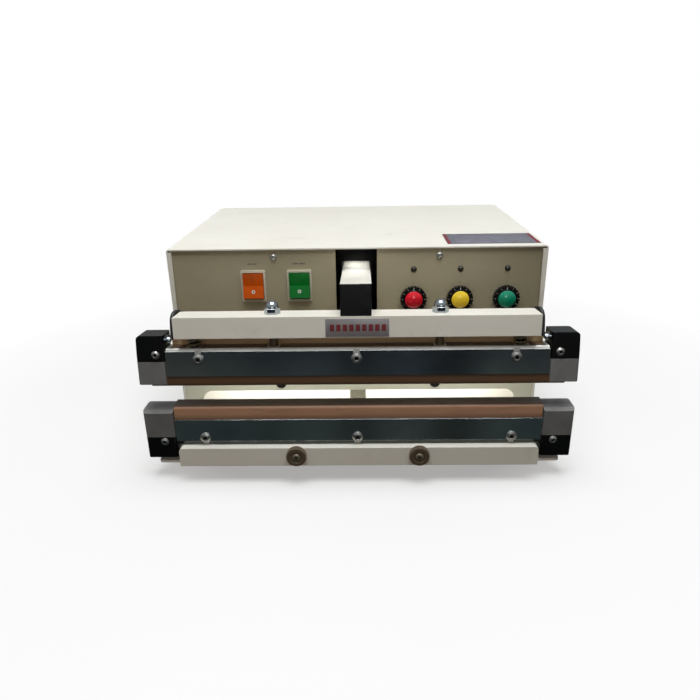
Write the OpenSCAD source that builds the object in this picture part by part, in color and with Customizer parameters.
// Bench heat sealer: a sheet-metal casing on a base plate, a fixed lower jaw on a rail in front,
// and an upper jaw hung from a pivoted arm that a solenoid pulls down. Shown with the jaws open.
// x runs to the right seen from the front, y to the rear, z up from the table.
// The machine is centred on x = 0 and, from thumb screws to rear edge, on y = 0.

/* [Casing] */
// Width of the casing over its cover
case_w = 384; // [370:1:400]
// Depth of the casing, front edge to rear edge
case_d = 267; // [262:1:280]
// Height of the cover's top above the table
top_z = 218; // [216:1:232]
// Thickness of the cover and panel sheet
sheet = 1.5; // [1.2:0.1:1.8]
// How far the front panel sits back from the cover's front edge
panel_in = 2.5; // [2:0.1:3]
// Half the width of the lower opening in the front panel
open_hw = 171; // [160:1:174]
// Height of the top edge of the lower opening
open_top = 60; // [54:1:61]

/* [Base] */
// Width of the base plate under the jaws
base_w = 400; // [396:1:408]
// Height of the rubber feet
foot_h = 18.5; // [18:0.1:19]
// Thickness of the base plate
base_t = 2.5; // [2:0.1:2.5]
// Half the length of the front rail
rail_hw = 176; // [170:0.5:178]
// Distance of the rail's front face from the casing's front edge
rail_y = 87.5; // [86:0.5:90]
// Diameter of the thumb screw heads
thumb_d = 19.5; // [16:0.5:22]

/* [Jaws] */
// Half the length of both jaw bars
jaw_hw = 178.5; // [170:0.5:184]
// Distance of the jaws' front plates from the casing's front edge
jaw_y = 80; // [78:0.5:82]
// Height of the lower sealing face
seal_z = 81.5; // [80:0.5:82]
// Gap left between the sealing faces when the jaws are closed
seal_gap = 0.2; // [0.1:0.05:0.4]
// Outer half length over the end blocks
end_hw = 209; // [206:0.1:212]

/* [Arm] */
// Width of the arm tube
arm_w = 28.5; // [26:0.5:29]
// Height of the arm tube
arm_h = 29; // [27:0.5:29]
// Distance of the pivot behind the casing's front edge
pivot_y = 150; // [148:1:155]
// Height of the pivot
pivot_z = 141; // [140:0.5:142]
// Angle by which the arm is raised when the jaws are open
tilt = 5.8; // [4:0.1:6]

/* [Controls] */
// Distance between neighbouring timer knobs
knob_pitch = 47.5; // [44:0.5:49]
// Diameter of the knob skirts
knob_d = 27; // [22:0.5:28]
// Height of the knob centres
knob_z = 164; // [160:1:168]

/* [Hidden] */
$fn = 48;

// Casing and base
case_hw = case_w / 2;
base_top = foot_h + base_t;
thumb_t = 6;                       // thickness of a thumb screw head
mid_y = (case_d - rail_y - thumb_t) / 2;
panel_front = panel_in;
panel_back = panel_in + sheet;
rear_front = case_d - 5;           // front face of the rear panel
rear_back = rear_front + sheet;
inner_hw = case_hw - sheet - 0.1;  // half width inside the cover
inner_top = top_z - sheet - 0.1;   // height inside the cover
tray_top = open_top + 4;
rail_front = -rail_y;
rail_top = 39.7;
column_y = 14;

// Screw places: xs and ys are lists of positions
clear_r = 2.1;                     // clearance holes
thread_r = 1.95;                   // threaded holes and socket screw shanks
foot_xs = [-160, 160];
foot_ys = [-40, 235];
panel_screw_xs = [-84, 84];
cover_screw_z = top_z - 9.5;
tray_screw_z = 68;
side_screw_ys = [45, 220];
side_screw_z = base_top + 8;
rail_screw_xs = [-140, 0, 140];
rail_screw_y = -50;
jaw_fix_xs = [-110, -30, 30, 110]; // screws holding the lower jaw on the rail
jaw_fix_y = -69.5;
thumb_x = 60;
thumb_z = 32.5;

// Jaws, the upper one closed
jaw_front = -jaw_y;                // front faces of the front clamp plates
plate_t = 2;                       // thickness of the clamp plates
bar_front = jaw_front + plate_t;
bar_back = bar_front + 17;
upper_seal_z = seal_z + seal_gap;
upper_bar_z = upper_seal_z + 10.3; // underside of the upper jaw bar
upper_bar_top = 118.8;
upper_end_hw = end_hw - 2.6;       // outer half length over the upper end blocks
lower_bar_top = 67.2;

// Arm, closed, and its drive
arm_z = 149.85;                    // underside of the arm
arm_top = arm_z + arm_h;
arm_hw = arm_w / 2;
arm_front = jaw_front - 4.8;
bracket_top = arm_z - 0.15;
bracket_z = bracket_top - 20;      // lower edges of the jaw bracket
bolt_y = -70;                      // line of the arm and suspension bolts
arm_bolt_xs = [-8, 8];
suspension_xs = [-78, 78];
shaft_r = 5;
bush_r = 7.5;
solenoid_y = 75;
solenoid_top = tray_top + 54;
pin_z = 139;                       // cross pin between plunger and arm
plunger_lift = (pivot_y - solenoid_y) * tilt * PI / 180;
plunger_collar_z = 129.5;          // underside of the plunger's collar, closed

// Controls
lamp_z = top_z - 23.5;
switch_xs = [-106, -58.5];
switch_z = 179;
inlet_x = -140;
inlet_z = 106.5;
socket_x = -92;
socket_z = 106;

cream = [0.93, 0.93, 0.87];
grey = [0.32, 0.32, 0.31];
black = [0.04, 0.04, 0.04];
steel = [0.72, 0.72, 0.72];
bright = [0.78, 0.79, 0.8];
plate_grey = [0.55, 0.56, 0.58];
pad_red = [0.75, 0.3, 0.2];

/* ---- frames and shapes ---- */
// Machine frame: y = 0 at the casing's front edge, z = 0 on the table
module machine() { translate([0, -mid_y, 0]) children(); }
// Arm frame: drawn level as with closed jaws, shown raised
module on_arm() {
  machine() translate([0, pivot_y, pivot_z]) rotate([-tilt, 0, 0])
    translate([0, -pivot_y, -pivot_z]) children();
}
module both_sides() {
  children();
  mirror([1, 0, 0]) children();
}
module box(low, high) { translate(low) cube(high - low); }
// Solid of a y-z outline run along x
module run_x(start, end) {
  translate([start, 0, 0]) rotate([90, 0, 90]) linear_extrude(end - start) children();
}
// Solid of an x-z outline run along y
module run_y(start, end) {
  translate([0, end, 0]) rotate([90, 0, 0]) linear_extrude(end - start) children();
}
module rod_x(start, end, y, z, radius) {
  translate([start, y, z]) rotate([0, 90, 0]) cylinder(r = radius, h = end - start);
}
module rod_y(start, end, x, z, radius) {
  translate([x, end, z]) rotate([90, 0, 0]) cylinder(r = radius, h = end - start);
}
module rod_z(start, end, x, y, radius) {
  translate([x, y, start]) cylinder(r = radius, h = end - start);
}
// Flat rounded rectangle between two corners
module rounded_rect(low, high, radius) {
  size = high - low;
  translate([low[0] + radius, low[1]]) square([size[0] - 2 * radius, size[1]]);
  translate([low[0], low[1] + radius]) square([size[0], size[1] - 2 * radius]);
  for (x = [low[0] + radius, high[0] - radius], y = [low[1] + radius, high[1] - radius])
    translate([x, y]) circle(r = radius);
}
// Cross-slotted pan-head screw along +y: head in front of y = 0, shank behind it
module pan_screw(length) {
  head_r = 3.4;
  slot_hw = head_r * 0.55;
  rotate([90, 0, 0]) difference() {
    union() {
      cylinder(r = head_r, h = 1.0);
      translate([0, 0, 1]) cylinder(r1 = head_r, r2 = head_r * 0.62, h = 0.9);
      translate([0, 0, -length]) cylinder(r = 1.9, h = length);
    }
    translate([-slot_hw, -0.4, 1.1]) cube([2 * slot_hw, 0.8, 1]);
    translate([-0.4, -slot_hw, 1.1]) cube([0.8, 2 * slot_hw, 1]);
  }
}
// Button-head socket screw along +y, placed like the pan-head screw
module button_screw(length, head_r, shank_r) {
  rotate([90, 0, 0]) difference() {
    union() {
      cylinder(r = head_r, h = 1.2);
      translate([0, 0, 1.2]) cylinder(r1 = head_r, r2 = head_r * 0.6, h = 1.2);
      translate([0, 0, -length]) cylinder(r = shank_r, h = length);
    }
    translate([0, 0, 0.8]) cylinder(r = head_r * 0.42, h = 2, $fn = 6);
  }
}
// Points round the wire's section at one angle of the coil
function wire_ring(angle, mean_r, wire_r, z, sides) = [
  for (k = [0:sides - 1])
    let (turn = 360 * k / sides, reach = mean_r + wire_r * cos(turn))
    [reach * cos(angle), reach * sin(angle), z + wire_r * sin(turn)]];
// Coil of round wire standing on z = 0
module coil(mean_r, wire_r, height, turns) {
  sides = 6;
  steps = turns * 18;
  points = [for (i = [0:steps])
    let (part = i / steps, z = wire_r + (height - 2 * wire_r) * part)
    each wire_ring(360 * turns * part, mean_r, wire_r, z, sides)];
  faces = concat(
    [[for (k = [0:sides - 1]) k]],
    [for (i = [0:steps - 1], k = [0:sides - 1])
      let (here = i * sides, above = here + sides, next = (k + 1) % sides)
      [here + k, above + k, above + next, here + next]],
    [[for (k = [sides - 1:-1:0]) steps * sides + k]]);
  polyhedron(points, faces, convexity = 10);
}

/* ---- base and casing ---- */
module base_plate() color(cream) machine() difference() {
  union() {
    translate([0, 0, foot_h]) linear_extrude(base_t) union() {
      rounded_rect([-base_w / 2, bar_front], [base_w / 2, -8], 4);
      translate([-case_hw, -20]) square([2 * case_hw, case_d + 20]);
    }
    // upright side flanges inside the cover
    both_sides()
      box([inner_hw - 2.4, 12, base_top - 0.5], [inner_hw, case_d - 12, base_top + 15]);
  }
  for (x = foot_xs, y = foot_ys) rod_z(foot_h - 1, base_top + 1, x, y, clear_r);
  for (x = rail_screw_xs) rod_z(foot_h - 1, base_top + 1, x, rail_screw_y, clear_r);
  rod_z(foot_h - 1, base_top + 1, 0, column_y, clear_r);
  both_sides() for (y = side_screw_ys)
    rod_x(inner_hw - 4, inner_hw + 1, y, side_screw_z, thread_r);
}

// Channel open below, with a foot flange behind it
module rail_profile() {
  difference() {
    union() {
      translate([rail_front, 20]) square([30, rail_top - 20]);
      translate([rail_front + 29, base_top]) square([14, 2]);
    }
    translate([rail_front + 2, 10]) square([26, rail_top - 12]);
    translate([rail_front + 2, 10]) square([60, base_top - 10]);
  }
}
module front_rail() color(cream) machine() difference() {
  intersection() {
    run_x(-rail_hw, rail_hw) rail_profile();
    // front view: only the top corners are round
    run_y(rail_front - 1, -40) union() {
      rounded_rect([-rail_hw, 15], [rail_hw, rail_top], 4);
      translate([-rail_hw, 10]) square([2 * rail_hw, 12]);
    }
  }
  for (x = [-thumb_x, thumb_x]) rod_y(rail_front - 1, rail_front + 3, x, thumb_z, 3.06);
  for (x = rail_screw_xs) rod_z(base_top - 1, base_top + 3, x, rail_screw_y, clear_r);
  for (x = jaw_fix_xs) rod_z(rail_top - 3, rail_top + 1, x, jaw_fix_y, 2.6);
}

// Foot half section: radius, height
foot_outline = [[0, 0], [11, 0], [12, 1], [12.5, 4],
  [12.5, foot_h - 2], [11.5, foot_h], [0, foot_h]];
module rubber_feet() color(black) machine()
  for (x = foot_xs, y = foot_ys) translate([x, y, 0]) difference() {
    rotate_extrude() polygon(foot_outline);
    translate([0, 0, -1]) cylinder(r = clear_r, h = 30);
    // recess for the screw head
    translate([0, 0, -1]) cylinder(r = 4.5, h = 7);
  }

// Inverted U with rounded bends
module cover_profile() difference() {
  wall_h = top_z - base_top - 10;
  inside_hw = case_hw - sheet;
  union() {
    translate([-case_hw, base_top]) square([2 * case_hw, wall_h]);
    rounded_rect([-case_hw, top_z - 20], [case_hw, top_z], 2.5);
  }
  translate([-inside_hw, base_top - 1]) square([2 * inside_hw, wall_h]);
  rounded_rect([-inside_hw, top_z - 22], [inside_hw, top_z - sheet], 1);
}
module cover_shell() color(cream) machine() difference() {
  lip_x = case_hw - 1.4;
  tab_z = top_z - 20;
  tab_top = top_z - sheet + 0.1;
  union() {
    run_y(0, case_d) cover_profile();
    // returned edges in front of the front panel, wider towards the top
    both_sides() run_y(0, sheet) polygon([[case_hw - 5, top_z - 3], [lip_x, top_z - 3],
      [lip_x, base_top], [case_hw - 2.4, base_top]]);
    // tabs on the panels' inner faces that take the fixing screws
    for (x = panel_screw_xs) {
      box([x - 9, panel_back + 0.05, tab_z], [x + 9, panel_back + 1.6, tab_top]);
      box([x - 9, rear_front - 1.6, tab_z], [x + 9, rear_front - 0.05, tab_top]);
    }
  }
  for (x = panel_screw_xs) {
    rod_y(panel_back - 1, panel_back + 3, x, cover_screw_z, thread_r);
    rod_y(rear_front - 3, rear_front + 1, x, cover_screw_z, thread_r);
  }
  both_sides() for (y = side_screw_ys) rod_x(case_hw - 3, case_hw + 1, y, side_screw_z, 2.2);
}

// Panel blank with its top corners cut to clear the cover's bends
module panel_blank() polygon([[-inner_hw, base_top + 0.1], [inner_hw, base_top + 0.1],
  [inner_hw, inner_top - 1.5], [inner_hw - 1.5, inner_top],
  [1.5 - inner_hw, inner_top], [-inner_hw, inner_top - 1.5]]);
module lower_opening(top) rounded_rect([-open_hw, base_top + 5], [open_hw, top], 11);
module cover_screw_holes() for (x = panel_screw_xs) translate([x, cover_screw_z]) circle(r = 2.2);

module front_outline() difference() {
  panel_blank();
  lower_opening(open_top);
  // arm slot, open at the top
  translate([-21, 142]) square([42, 100]);
  for (x = switch_xs) translate([x - 11.7, switch_z - 15.4]) square([23.4, 30.8]);
  for (i = [0:2]) {
    translate([knob_x(i), knob_z]) circle(r = 3.6);
    translate([knob_x(i), lamp_z]) circle(r = 3);
  }
  cover_screw_holes();
  for (x = panel_screw_xs) translate([x, tray_screw_z]) circle(r = 2.6);
}
module front_panel() color([0.87, 0.87, 0.8]) machine()
  run_y(panel_front, panel_back) front_outline();

module rear_outline() difference() {
  panel_blank();
  lower_opening(open_top - 2);
  cover_screw_holes();
  translate([inlet_x - 14, inlet_z - 10.5]) square([28, 21]);
  translate([socket_x, socket_z]) circle(r = 8.2);
  // ventilation slots
  for (i = [0:9]) translate([30 + i * 13, 0]) rounded_rect([0, 120], [5, 180], 2.4);
}
module rear_panel() color(cream) machine() run_y(rear_front, rear_back) rear_outline();

// Tray with an upright flange on each edge
module mid_tray() color(steel) machine() difference() {
  side = inner_hw - 0.1;
  front = panel_back + 0.2;
  back = rear_front - 0.3;
  flange_z = tray_top - 0.1;
  union() {
    box([-side, front, tray_top - 2], [side, back, tray_top]);
    box([-side, front, flange_z], [side, front + 2 - 0.2 + 0.2, tray_top + 10]);
    box([-side, back - 2, flange_z], [side, back, tray_top + 10]);
    both_sides() box([side - 2, front, flange_z], [side, back, tray_top + 12]);
  }
  for (x = panel_screw_xs) rod_y(panel_back - 1, panel_back + 4, x, tray_screw_z, thread_r);
  rod_z(tray_top - 4, tray_top + 1, 0, column_y, clear_r);
}

module centre_column() color(cream) machine() difference() {
  union() {
    rod_z(base_top, tray_top - 2, 0, column_y, 9);
    rod_z(base_top, base_top + 3, 0, column_y, 9.8);
  }
  rod_z(base_top - 1, base_top + 12, 0, column_y, thread_r);
  rod_z(tray_top - 14, tray_top - 1, 0, column_y, thread_r);
}

// Box behind the arm slot, open in front, with an arm opening in its rear wall
module slot_shroud() color(black) machine() difference() {
  box([-24, panel_back + 0.05, 140.5], [24, 46, inner_top - 0.2]);
  box([-22.4, 0, 142.1], [22.4, 44.4, inner_top - 2]);
  box([-16.5, 40, 146], [16.5, 50, 194]);
}

module case_screws() color(steel) machine() {
  for (x = panel_screw_xs) {
    translate([x, panel_front, cover_screw_z]) pan_screw(7);
    translate([x, rear_back, cover_screw_z]) rotate([0, 0, 180]) pan_screw(7);
  }
  both_sides() for (y = side_screw_ys)
    translate([case_hw, y, side_screw_z]) rotate([0, 0, 90]) pan_screw(6.5);
  // up through the feet
  for (x = foot_xs, y = foot_ys) translate([x, y, 6]) rotate([90, 0, 0]) pan_screw(19);
}

// Dome-head screw along +y with a hexagon socket
module dome_screw() rotate([90, 0, 0]) difference() {
  union() {
    intersection() {
      translate([0, 0, -4.2]) sphere(r = 7.2);
      cylinder(r = 5.5, h = 6);
    }
    translate([0, 0, -6]) cylinder(r = 1.9, h = 6.2);
  }
  translate([0, 0, 1.6]) cylinder(r = 1.6, h = 3, $fn = 6);
}
module rail_screws() color(black) machine() {
  for (x = panel_screw_xs) translate([x, panel_front, tray_screw_z]) dome_screw();
  for (x = rail_screw_xs) translate([x, rail_screw_y, base_top + 2]) {
    cylinder(r = 3.8, h = 2.4);
    translate([0, 0, -6]) cylinder(r = thread_r, h = 6.2);
  }
}

/* ---- pivot and drive ---- */
module pivot_bracket() color(steel) machine() difference() {
  cheek_r = 14;
  union() {
    box([-34, pivot_y - 20, tray_top], [34, pivot_y + 20, tray_top + 3]);
    both_sides() run_x(18, 22) union() {
      translate([pivot_y - cheek_r, tray_top]) square([2 * cheek_r, pivot_z - tray_top]);
      translate([pivot_y, pivot_z]) circle(r = cheek_r);
    }
  }
  rod_x(-30, 30, pivot_y, pivot_z, shaft_r);
}
// Shaft with a retaining ring outside each cheek
module pivot_shaft() color(steel) machine() union() {
  rod_x(-25, 25, pivot_y, pivot_z, shaft_r);
  both_sides() rod_x(22.05, 23.6, pivot_y, pivot_z, 7.5);
}
module solenoid_frame() color(steel) machine() difference() {
  front = solenoid_y - 28;
  back = solenoid_y + 28;
  union() {
    box([-31, front, tray_top], [31, back, tray_top + 4]);
    box([-31, front, solenoid_top - 4], [31, back, solenoid_top]);
    both_sides() box([27, front, tray_top], [31, back, solenoid_top]);
  }
  rod_z(solenoid_top - 5, solenoid_top + 1, 0, solenoid_y, 11);
}
module solenoid_coil() color([0.62, 0.16, 0.08]) machine() difference() {
  union() {
    rod_z(tray_top + 4, tray_top + 50, 0, solenoid_y, 24);
    // square flanges at both ends
    for (z = [tray_top + 4, tray_top + 47])
      box([-26, solenoid_y - 26, z], [26, solenoid_y + 26, z + 3]);
  }
  rod_z(tray_top + 6, tray_top + 51, 0, solenoid_y, 10.06);
}
// Plunger with a spring collar, a blade and a cross pin
module solenoid_plunger() color(steel) machine() translate([0, 0, plunger_lift]) {
  rod_z(tray_top + 8, 130, 0, solenoid_y, 10);
  rod_z(plunger_collar_z, 131.5, 0, solenoid_y, 14);
  box([-6, solenoid_y - 5, 131], [6, solenoid_y + 5, 144]);
  rod_x(-13.5, 13.5, solenoid_y, pin_z, 2.5);
}
module return_spring() color(steel) machine() translate([0, solenoid_y, solenoid_top + 0.05])
  coil(12.2, 0.9, plunger_collar_z + plunger_lift - solenoid_top - 0.1, 4);

module arm_tube() color(cream) on_arm() difference() {
  wall = 2;
  slot_h = 2.8;                    // half height of the pin slots
  slot_hw = 3.2;                   // half distance of their end centres
  union() {
    box([-arm_hw, arm_front + 3, arm_z], [arm_hw, 200, arm_top]);
    // pivot lug and the two solenoid lugs
    box([-arm_hw, pivot_y - 12, pivot_z - 12], [arm_hw, pivot_y + 12, arm_z + 1]);
    both_sides() box([8, solenoid_y - 10, 133], [12, solenoid_y + 10, arm_z + 1]);
  }
  box([-arm_hw + wall, arm_front - 5, arm_z + wall], [arm_hw - wall, 210, arm_top - wall]);
  rod_x(-30, 30, pivot_y, pivot_z, bush_r);
  for (y = [-slot_hw, slot_hw]) rod_x(-20, 20, solenoid_y + y, pin_z, slot_h);
  box([-20, solenoid_y - slot_hw, pin_z - slot_h], [20, solenoid_y + slot_hw, pin_z + slot_h]);
  for (x = arm_bolt_xs) rod_z(arm_z - 1, arm_z + 3, x, bolt_y, clear_r);
}
module arm_end_plug() color(black) on_arm() union() {
  // end plate with notched front upright edges
  difference() {
    box([-arm_hw, arm_front, arm_z], [arm_hw, arm_front + 3, arm_top]);
    for (side = [-1, 1]) translate([side * arm_hw, arm_front, arm_z - 1])
      rotate([0, 0, 45]) cube([0.9, 0.9, 80], center = true);
  }
  // hollow spigot inside the tube
  difference() {
    box([-arm_hw + 2.1, arm_front + 2, arm_z + 2.1], [arm_hw - 2.1, arm_front + 10, arm_top - 2.1]);
    box([-arm_hw + 4, arm_front + 4, arm_z + 4], [arm_hw - 4, arm_front + 12, arm_top - 4]);
  }
}
module arm_bushes() color([0.72, 0.52, 0.25]) on_arm() both_sides() difference() {
  union() {
    rod_x(4, 14.4, pivot_y, pivot_z, bush_r);
    rod_x(14.3, 17.9, pivot_y, pivot_z, 9.5);
  }
  rod_x(0, 20, pivot_y, pivot_z, shaft_r + 0.06);
}
// Trough open below that carries the upper jaw
module jaw_bracket() color(cream) on_arm() difference() {
  box([-168, -85, bracket_z], [168, -57, bracket_top]);
  box([-166, -83, bracket_z - 1], [166, -59, bracket_top - 2]);
  for (x = suspension_xs) rod_z(bracket_top - 3, bracket_top + 1, x, bolt_y, 4.4);
  for (x = arm_bolt_xs) rod_z(bracket_top - 3, bracket_top + 1, x, bolt_y, clear_r);
}
module bracket_bolts() color(steel) on_arm()
  for (x = arm_bolt_xs) translate([x, bolt_y, bracket_top - 2]) {
    translate([0, 0, -3.4]) cylinder(r = 4.1, h = 3.4, $fn = 6);
    translate([0, 0, -0.2]) cylinder(r = 2, h = 8);
    translate([0, 0, 4.3]) cylinder(r = 3.9, h = 3, $fn = 6);
  }

/* ---- jaws ---- */
// Screw places: plate screws at x = 0 and both plate_x, end screws at both end_x
upper_plate_x = 148;
upper_plate_z = 108.6;
upper_end_x = 187.7;
upper_end_z = 113.4;
lower_plate_x = 150;
lower_plate_z = 48.3;
lower_end_x = 190.7;
lower_end_z = 43.8;
// Bottom and top of the tongues at the bars' ends
upper_tongue = [93.5, 101.5];
lower_tongue = [52, 62];
// Where end blocks and caps meet, and their depths
upper_split_z = 106.5;
lower_split_z = 48.4;
upper_block_d = 24;
lower_block_d = 22;

// Outline of a pad: flat back at z = 0, rounded edges at the face; grown in y by margin
module pad_outline(height, margin) {
  edge_r = 3;
  front = bar_front - 0.2 - margin;
  back = bar_back + 0.2 + margin;
  translate([front, 0]) square([back - front, height - edge_r]);
  translate([front + edge_r, 0]) square([back - front - 2 * edge_r, height]);
  for (y = [front + edge_r, back - edge_r]) translate([y, height - edge_r]) circle(r = edge_r);
}
module cover_outline(height) difference() {
  pad_outline(height, 0.8);
  translate([0, -1]) pad_outline(height + 0.15, 0.02);
}
module bar_tongues(span) both_sides()
  box([jaw_hw - 2, bar_front + 5, span[0]], [jaw_hw + 16, bar_back - 5, span[1]]);
module bar_screw_holes(plate_x, z) for (x = [-plate_x, 0, plate_x])
  rod_y(bar_front - 1, bar_back + 1, x, z, 2);
// Front and rear plates with screw slots open at the top or the bottom edge
module clamp_plates(bottom, top, screw_z, open_up, plate_x) {
  slot_z = open_up ? screw_z : screw_z - 20;
  for (y = [jaw_front, bar_back]) difference() {
    box([-jaw_hw - 0.4, y, bottom], [jaw_hw + 0.4, y + plate_t, top]);
    for (x = [-plate_x, 0, plate_x]) {
      rod_y(y - 1, y + 3, x, screw_z, 3);
      box([x - 3, y - 1, slot_z], [x + 3, y + 3, slot_z + 20]);
    }
  }
}
module end_body(bottom, top, depth, outer_hw) translate([0, 0, bottom])
  linear_extrude(top - bottom)
    rounded_rect([jaw_hw + 1, jaw_front], [outer_hw, jaw_front + depth], 2.5);
module end_screw_hole(x, z) rod_y(jaw_front - 1, jaw_front + 20, x, z, thread_r);
// Block on a bar's tongue, with its own tongue reaching to reach_z inside the cap
module end_block(bottom, top, reach_z, screw_x, screw_z, depth, outer_hw, tongue) difference() {
  union() {
    end_body(bottom, top, depth, outer_hw);
    box([screw_x - 4.3, jaw_front + 8, min(bottom + 1, reach_z)],
      [screw_x + 12.7, jaw_front + 16, max(top - 1, reach_z)]);
  }
  box([jaw_hw, bar_front + 4.9, tongue[0] - 0.1], [jaw_hw + 16.2, bar_back - 4.9, tongue[1] + 0.1]);
  end_screw_hole(screw_x, screw_z);
}
// Cap over the block's tongue; pocket is the bottom and top of its hollow
module end_cap(bottom, top, pocket, screw_x, screw_z, depth, outer_hw) difference() {
  end_body(bottom, top, depth, outer_hw);
  box([screw_x - 4.5, jaw_front + 7.9, pocket[0]], [screw_x + 12.9, jaw_front + 16.1, pocket[1]]);
  end_screw_hole(screw_x, screw_z);
}
// Cut that leaves a cap slightly drafted and round at its top outer corner
module cap_draft(bottom, top, outer_hw, depth) {
  arc_x = outer_hw - 5.2;
  arc = [for (angle = [0:18:90]) [arc_x + 4 * cos(angle), top - 4 + 4 * sin(angle)]];
  run_y(jaw_front - 1, jaw_front + depth + 1) polygon(concat([[outer_hw, bottom]], arc,
    [[arc_x, top + 1], [outer_hw + 3, top + 1], [outer_hw + 3, bottom]]));
}
module jaw_screws(plate_x, plate_z, end_x, end_z) {
  for (x = [-plate_x, 0, plate_x]) {
    translate([x, jaw_front, plate_z]) button_screw(8, 5.2, thread_r);
    translate([x, bar_back + plate_t, plate_z]) rotate([0, 0, 180])
      button_screw(8, 5.2, thread_r);
  }
  for (x = [-end_x, end_x]) translate([x, jaw_front, end_z]) button_screw(14, 4, 1.9);
}
// Heating strip between two heights
module element(bottom, top) box([-178, bar_front + 6, bottom], [178, bar_front + 11, top]);
// Shallow groove inside a cover for the strip
module element_groove(bottom, top)
  box([-179, bar_front + 5, bottom], [179, bar_front + 12, top]);

module upper_jaw_bar() color(bright) on_arm() difference() {
  bevel = 1.2;
  union() {
    run_x(-jaw_hw, jaw_hw) polygon([[bar_front, upper_bar_z], [bar_back, upper_bar_z],
      [bar_back, upper_bar_top], [bar_front + bevel, upper_bar_top],
      [bar_front, upper_bar_top - bevel]]);
    bar_tongues(upper_tongue);
  }
  for (x = suspension_xs) rod_z(103, 122, x, bolt_y, 4);
  bar_screw_holes(upper_plate_x, upper_plate_z);
}
module upper_jaw_board() color([0.4, 0.27, 0.18]) on_arm()
  box([-176, -63.9, upper_bar_top], [176, bar_back, upper_bar_top + 7]);
module upper_pad() color(pad_red) on_arm() translate([0, 0, upper_bar_z])
  mirror([0, 0, 1]) run_x(-jaw_hw, jaw_hw) pad_outline(9.2, 0);
module upper_element() color(steel) on_arm() element(upper_seal_z + 0.82, upper_seal_z + 1.06);
module upper_cover() color([0.42, 0.3, 0.22]) on_arm() difference() {
  translate([0, 0, upper_bar_z - 0.05]) mirror([0, 0, 1])
    run_x(-jaw_hw, jaw_hw) cover_outline(10.25);
  element_groove(upper_seal_z + 0.5, upper_seal_z + 2);
}
module upper_clamp_plates() color(plate_grey) on_arm()
  clamp_plates(upper_bar_z, 116.2, upper_plate_z, true, upper_plate_x);
module upper_end_blocks() color(grey) on_arm() both_sides()
  end_block(84, upper_split_z, 123.5, upper_end_x, upper_end_z,
    upper_block_d, upper_end_hw, upper_tongue);
module upper_end_caps() color(black) on_arm() both_sides() difference() {
  cap_top = 131.8;
  end_cap(upper_split_z, cap_top, [upper_split_z - 1, 123.8], upper_end_x, upper_end_z,
    upper_block_d, upper_end_hw);
  cap_draft(upper_split_z, cap_top, upper_end_hw, upper_block_d);
}
module upper_jaw_screws() color(steel) on_arm()
  jaw_screws(upper_plate_x, upper_plate_z, upper_end_x, upper_end_z);
module suspension_bolts() color(steel) on_arm()
  for (x = suspension_xs) rod_z(103.2, 158, x, bolt_y, 3.98);
module dome_nuts() color([0.8, 0.8, 0.82]) on_arm()
  for (x = suspension_xs) translate([x, bolt_y, bracket_top]) difference() {
    dome_r = 6.2;
    union() {
      cylinder(r = 7.5, h = 5.5, $fn = 6);
      cylinder(r = dome_r, h = 6.6);
      intersection() {
        translate([0, 0, 6.4]) sphere(r = dome_r);
        translate([0, 0, 3]) cylinder(r = 8, h = 12);
      }
    }
    translate([0, 0, -1]) cylinder(r = 4, h = 10);
  }
module suspension_springs() color(steel) on_arm()
  for (x = [-153, 153]) translate([x, -71, upper_bar_top + 0.02])
    coil(5.4, 0.9, bracket_top - 2 - upper_bar_top - 0.04, 6);

module lower_jaw_bar() color(bright) machine() difference() {
  union() {
    box([-jaw_hw, bar_front, rail_top], [jaw_hw, bar_back, lower_bar_top]);
    bar_tongues(lower_tongue);
  }
  bar_screw_holes(lower_plate_x, lower_plate_z);
  for (x = jaw_fix_xs) rod_z(rail_top - 1, rail_top + 12, x, jaw_fix_y, 2.5);
}
module lower_pad() color(pad_red) machine() translate([0, 0, lower_bar_top])
  run_x(-jaw_hw, jaw_hw) pad_outline(seal_z - lower_bar_top - 1.1, 0);
module lower_element() color(steel) machine() element(seal_z - 1.06, seal_z - 0.82);
module lower_cover() color([0.5, 0.36, 0.27]) machine() difference() {
  cover_z = lower_bar_top + 0.05;
  translate([0, 0, cover_z]) run_x(-jaw_hw, jaw_hw) cover_outline(seal_z - cover_z);
  element_groove(seal_z - 2, seal_z - 0.5);
}
module lower_clamp_plates() color(plate_grey) machine()
  clamp_plates(41, lower_bar_top, lower_plate_z, false, lower_plate_x);
module lower_end_blocks() color(grey) machine() both_sides() difference() {
  end_block(lower_split_z, 77.5, 32, lower_end_x, lower_end_z,
    lower_block_d, end_hw, lower_tongue);
  // bevelled top front edge
  run_x(jaw_hw, end_hw + 1)
    polygon([[jaw_front - 1, 73.5], [jaw_front - 1, 78.5], [jaw_front + 4, 78.5]]);
}
module lower_end_caps() color(black) machine() both_sides()
  end_cap(25.8, lower_split_z, [31.7, lower_split_z + 1], lower_end_x, lower_end_z,
    lower_block_d, end_hw);
module lower_jaw_screws() color(steel) machine() {
  jaw_screws(lower_plate_x, lower_plate_z, lower_end_x, lower_end_z);
  for (x = jaw_fix_xs) translate([x, jaw_fix_y, rail_top - 2]) {
    translate([0, 0, -3]) cylinder(r = 4.5, h = 3);
    translate([0, 0, -0.2]) cylinder(r = 2.45, h = 12);
  }
}

/* ---- electrics and controls ---- */
function knob_x(i) = 58.5 + i * knob_pitch;
module at_knob(i, z) machine() translate([knob_x(i), 0, z]) children();

module transformer_core() color([0.35, 0.35, 0.38]) machine() difference() {
  box([-160, 145, tray_top], [-95, 190, 118]);
  for (x = [-151, -116]) box([x, 140, 74], [x + 12, 200, 108]);
}
// Winding round the core's middle limb
module transformer_coil() color([0.75, 0.5, 0.2]) machine() difference() {
  box([-150.5, 135, 74.3], [-104.5, 200, 107.7]);
  box([-139.2, 144.8, 70], [-115.8, 190.2, 120]);
}
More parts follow.
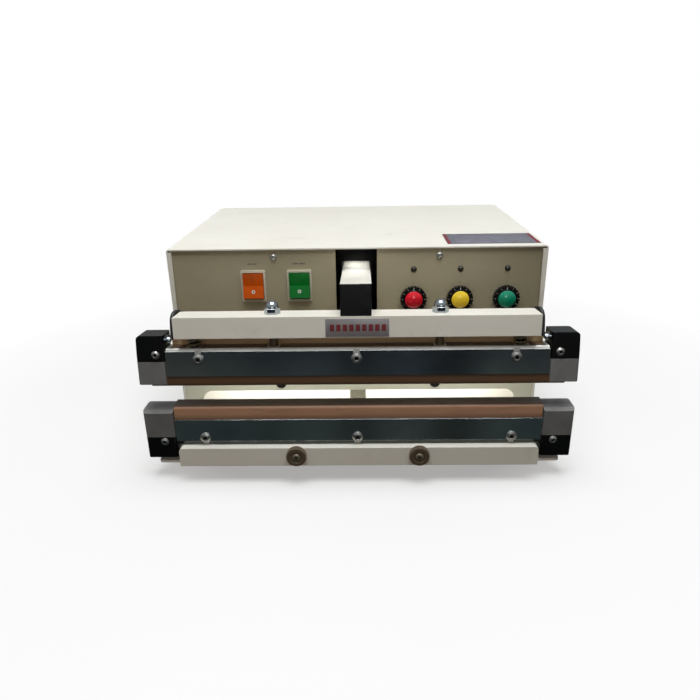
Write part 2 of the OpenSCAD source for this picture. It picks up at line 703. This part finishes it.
// Board with two blocks and a round can behind it, on four front spacers
module timer_board() color([0.1, 0.4, 0.2]) machine() {
  box([42, 20, 148], [176, 21.6, 206]);
  box([130, 21.5, 180], [158, 36, 200]);
  box([92, 21.5, 176], [118, 38, 192]);
  rod_y(21.5, 40, 60, 184, 6);
  for (x = [48, 170], z = [153, 202]) rod_y(panel_back + 0.1, 20.1, x, z, 3);
}
module potentiometers() color(steel) for (i = [0:2]) at_knob(i, knob_z) difference() {
  union() {
    rod_y(7, 18, 0, 0, 8.5);
    rod_y(panel_back + 0.1, 7.1, 0, 0, 4.8);
    box([-5, 17.9, -7], [5, 19.95, -5.5]);
  }
  rod_y(0, 17, 0, 0, 3.06);
}
// Skirted knob with its shaft, a cap recess and a fluted rim
module knob(i) at_knob(i, knob_z) difference() {
  union() {
    rod_y(-3, panel_front - 0.8, 0, 0, knob_d / 2);
    rod_y(-4.4, -2.9, 0, 0, 10);
    rod_y(panel_front - 0.9, 16, 0, 0, 3);
  }
  rod_y(-5, -3, 0, 0, 9);
  for (k = [0:23]) rotate([0, k * 15, 0]) rod_y(-4, 3, knob_d / 2 + 0.2, 0, 1.0);
}
module knob_cap(i) at_knob(i, knob_z) {
  cap_r = 8.9;
  rod_y(-4.7, -3, 0, 0, cap_r);
  intersection() {
    translate([0, 8.6, 0]) sphere(r = 16);
    rod_y(-9, -4.6, 0, 0, cap_r);
  }
}
module seal_knob() color(black) knob(0);
module cool_knob() color(black) knob(1);
module interval_knob() color(black) knob(2);
module seal_knob_cap() color([0.8, 0.08, 0.15]) knob_cap(0);
module cool_knob_cap() color([0.9, 0.75, 0.15]) knob_cap(1);
module interval_knob_cap() color([0.05, 0.5, 0.4]) knob_cap(2);
// Domed lamps with a collar behind the panel and two leads
module indicator_lamps() color([0.12, 0.12, 0.1]) for (i = [0:2]) at_knob(i, lamp_z) {
  intersection() {
    translate([0, 3.4, 0]) sphere(r = 2.9);
    rod_y(0, 3.6, 0, 0, 3);
  }
  rod_y(3.4, 11, 0, 0, 2.9);
  rod_y(panel_back + 0.1, panel_back + 2, 0, 0, 4);
  for (x = [-1.2, 1.2]) rod_y(10.9, 19.95, x, 0, 0.4);
}
rocker_y = 5;                      // axis of the rockers
module switch_bodies() color([0.85, 0.84, 0.78]) machine()
  for (x = switch_xs) translate([x, 0, switch_z]) difference() {
    union() {
      run_y(panel_front - 2, panel_front) rounded_rect([-12.6, -16.5], [12.6, 16.5], 1.5);
      box([-11.6, panel_front - 0.5, -15.3], [11.6, 27, 15.3]);
      // terminals
      for (z = [-8, 0, 8]) box([-3, 26.9, z - 0.4], [3, 34, z + 0.4]);
    }
    box([-10.65, -5, -13.95], [10.65, 15, 13.95]);
    rod_x(-11.4, 11.4, rocker_y, 0, 1.56);
  }
// Rocker outline about its axis: y, z
rocker_outline = [[-7.4, 12.8], [-5.6, 0], [-7.4, -12.8], [0, -12.4],
  [4, -4], [4, 4], [0, 12.4]];
module rocker(x) machine() translate([x, rocker_y, switch_z]) rotate([-6, 0, 0]) {
  run_x(-10.4, 10.4) polygon(rocker_outline);
  rod_x(-11.3, 11.3, 0, 0, 1.5);
}
module power_rocker() color([0.8, 0.35, 0.05]) rocker(switch_xs[0]);
module auto_rocker() color([0.02, 0.45, 0.2]) rocker(switch_xs[1]);
module mains_inlet() color(black) machine() translate([inlet_x, rear_back, inlet_z]) {
  difference() {
    union() {
      run_y(0, 1.8) rounded_rect([-17, -14.5], [17, 14.5], 2);
      box([-13.8, -22, -10.3], [13.8, 0.1, 10.3]);
    }
    box([-11.8, -17, -8], [11.8, 5, 8]);
  }
  // pins: x, z
  for (pin = [[-7, -2], [0, 3], [7, -2]])
    box([pin[0] - 1, -17.1, pin[1] - 2], [pin[0] + 1, -2, pin[1] + 2]);
}
module pedal_socket() color(steel) machine()
  translate([socket_x, rear_back, socket_z]) difference() {
    union() {
      rod_y(0, 1.5, 0, 0, 11);
      rod_y(-14, 0.1, 0, 0, 8);
    }
    rod_y(-10, 3, 0, 0, 6);
  }
// Thumb screw with a dished face and a knurled rim
module thumb_screw(x) color([0.25, 0.21, 0.17]) machine()
  translate([x, rail_front, thumb_z]) difference() {
    union() {
      rod_y(-thumb_t, 0, 0, 0, thumb_d / 2);
      rod_y(-0.1, 16, 0, 0, 3);
    }
    rod_y(-thumb_t - 1, -thumb_t + 0.8, 0, 0, thumb_d / 2 - 3.5);
    for (k = [0:29]) rotate([0, k * 12, 0]) rod_y(-thumb_t - 1, 1, thumb_d / 2 + 0.15, 0, 0.6);
  }
module thumb_screw_left() thumb_screw(-thumb_x);
module thumb_screw_right() thumb_screw(thumb_x);

base_plate();
front_rail();
rubber_feet();
cover_shell();
front_panel();
rear_panel();
mid_tray();
centre_column();
slot_shroud();
case_screws();
rail_screws();
pivot_bracket();
pivot_shaft();
solenoid_frame();
solenoid_coil();
solenoid_plunger();
return_spring();
transformer_core();
transformer_coil();
timer_board();
potentiometers();
seal_knob();
cool_knob();
interval_knob();
seal_knob_cap();
cool_knob_cap();
interval_knob_cap();
indicator_lamps();
switch_bodies();
power_rocker();
auto_rocker();
mains_inlet();
pedal_socket();
thumb_screw_left();
thumb_screw_right();
arm_tube();
arm_end_plug();
arm_bushes();
jaw_bracket();
bracket_bolts();
upper_jaw_bar();
upper_jaw_board();
upper_pad();
upper_element();
upper_cover();
upper_clamp_plates();
upper_end_blocks();
upper_end_caps();
upper_jaw_screws();
suspension_bolts();
dome_nuts();
suspension_springs();
lower_jaw_bar();
lower_pad();
lower_element();
lower_cover();
lower_clamp_plates();
lower_end_blocks();
lower_end_caps();
lower_jaw_screws();
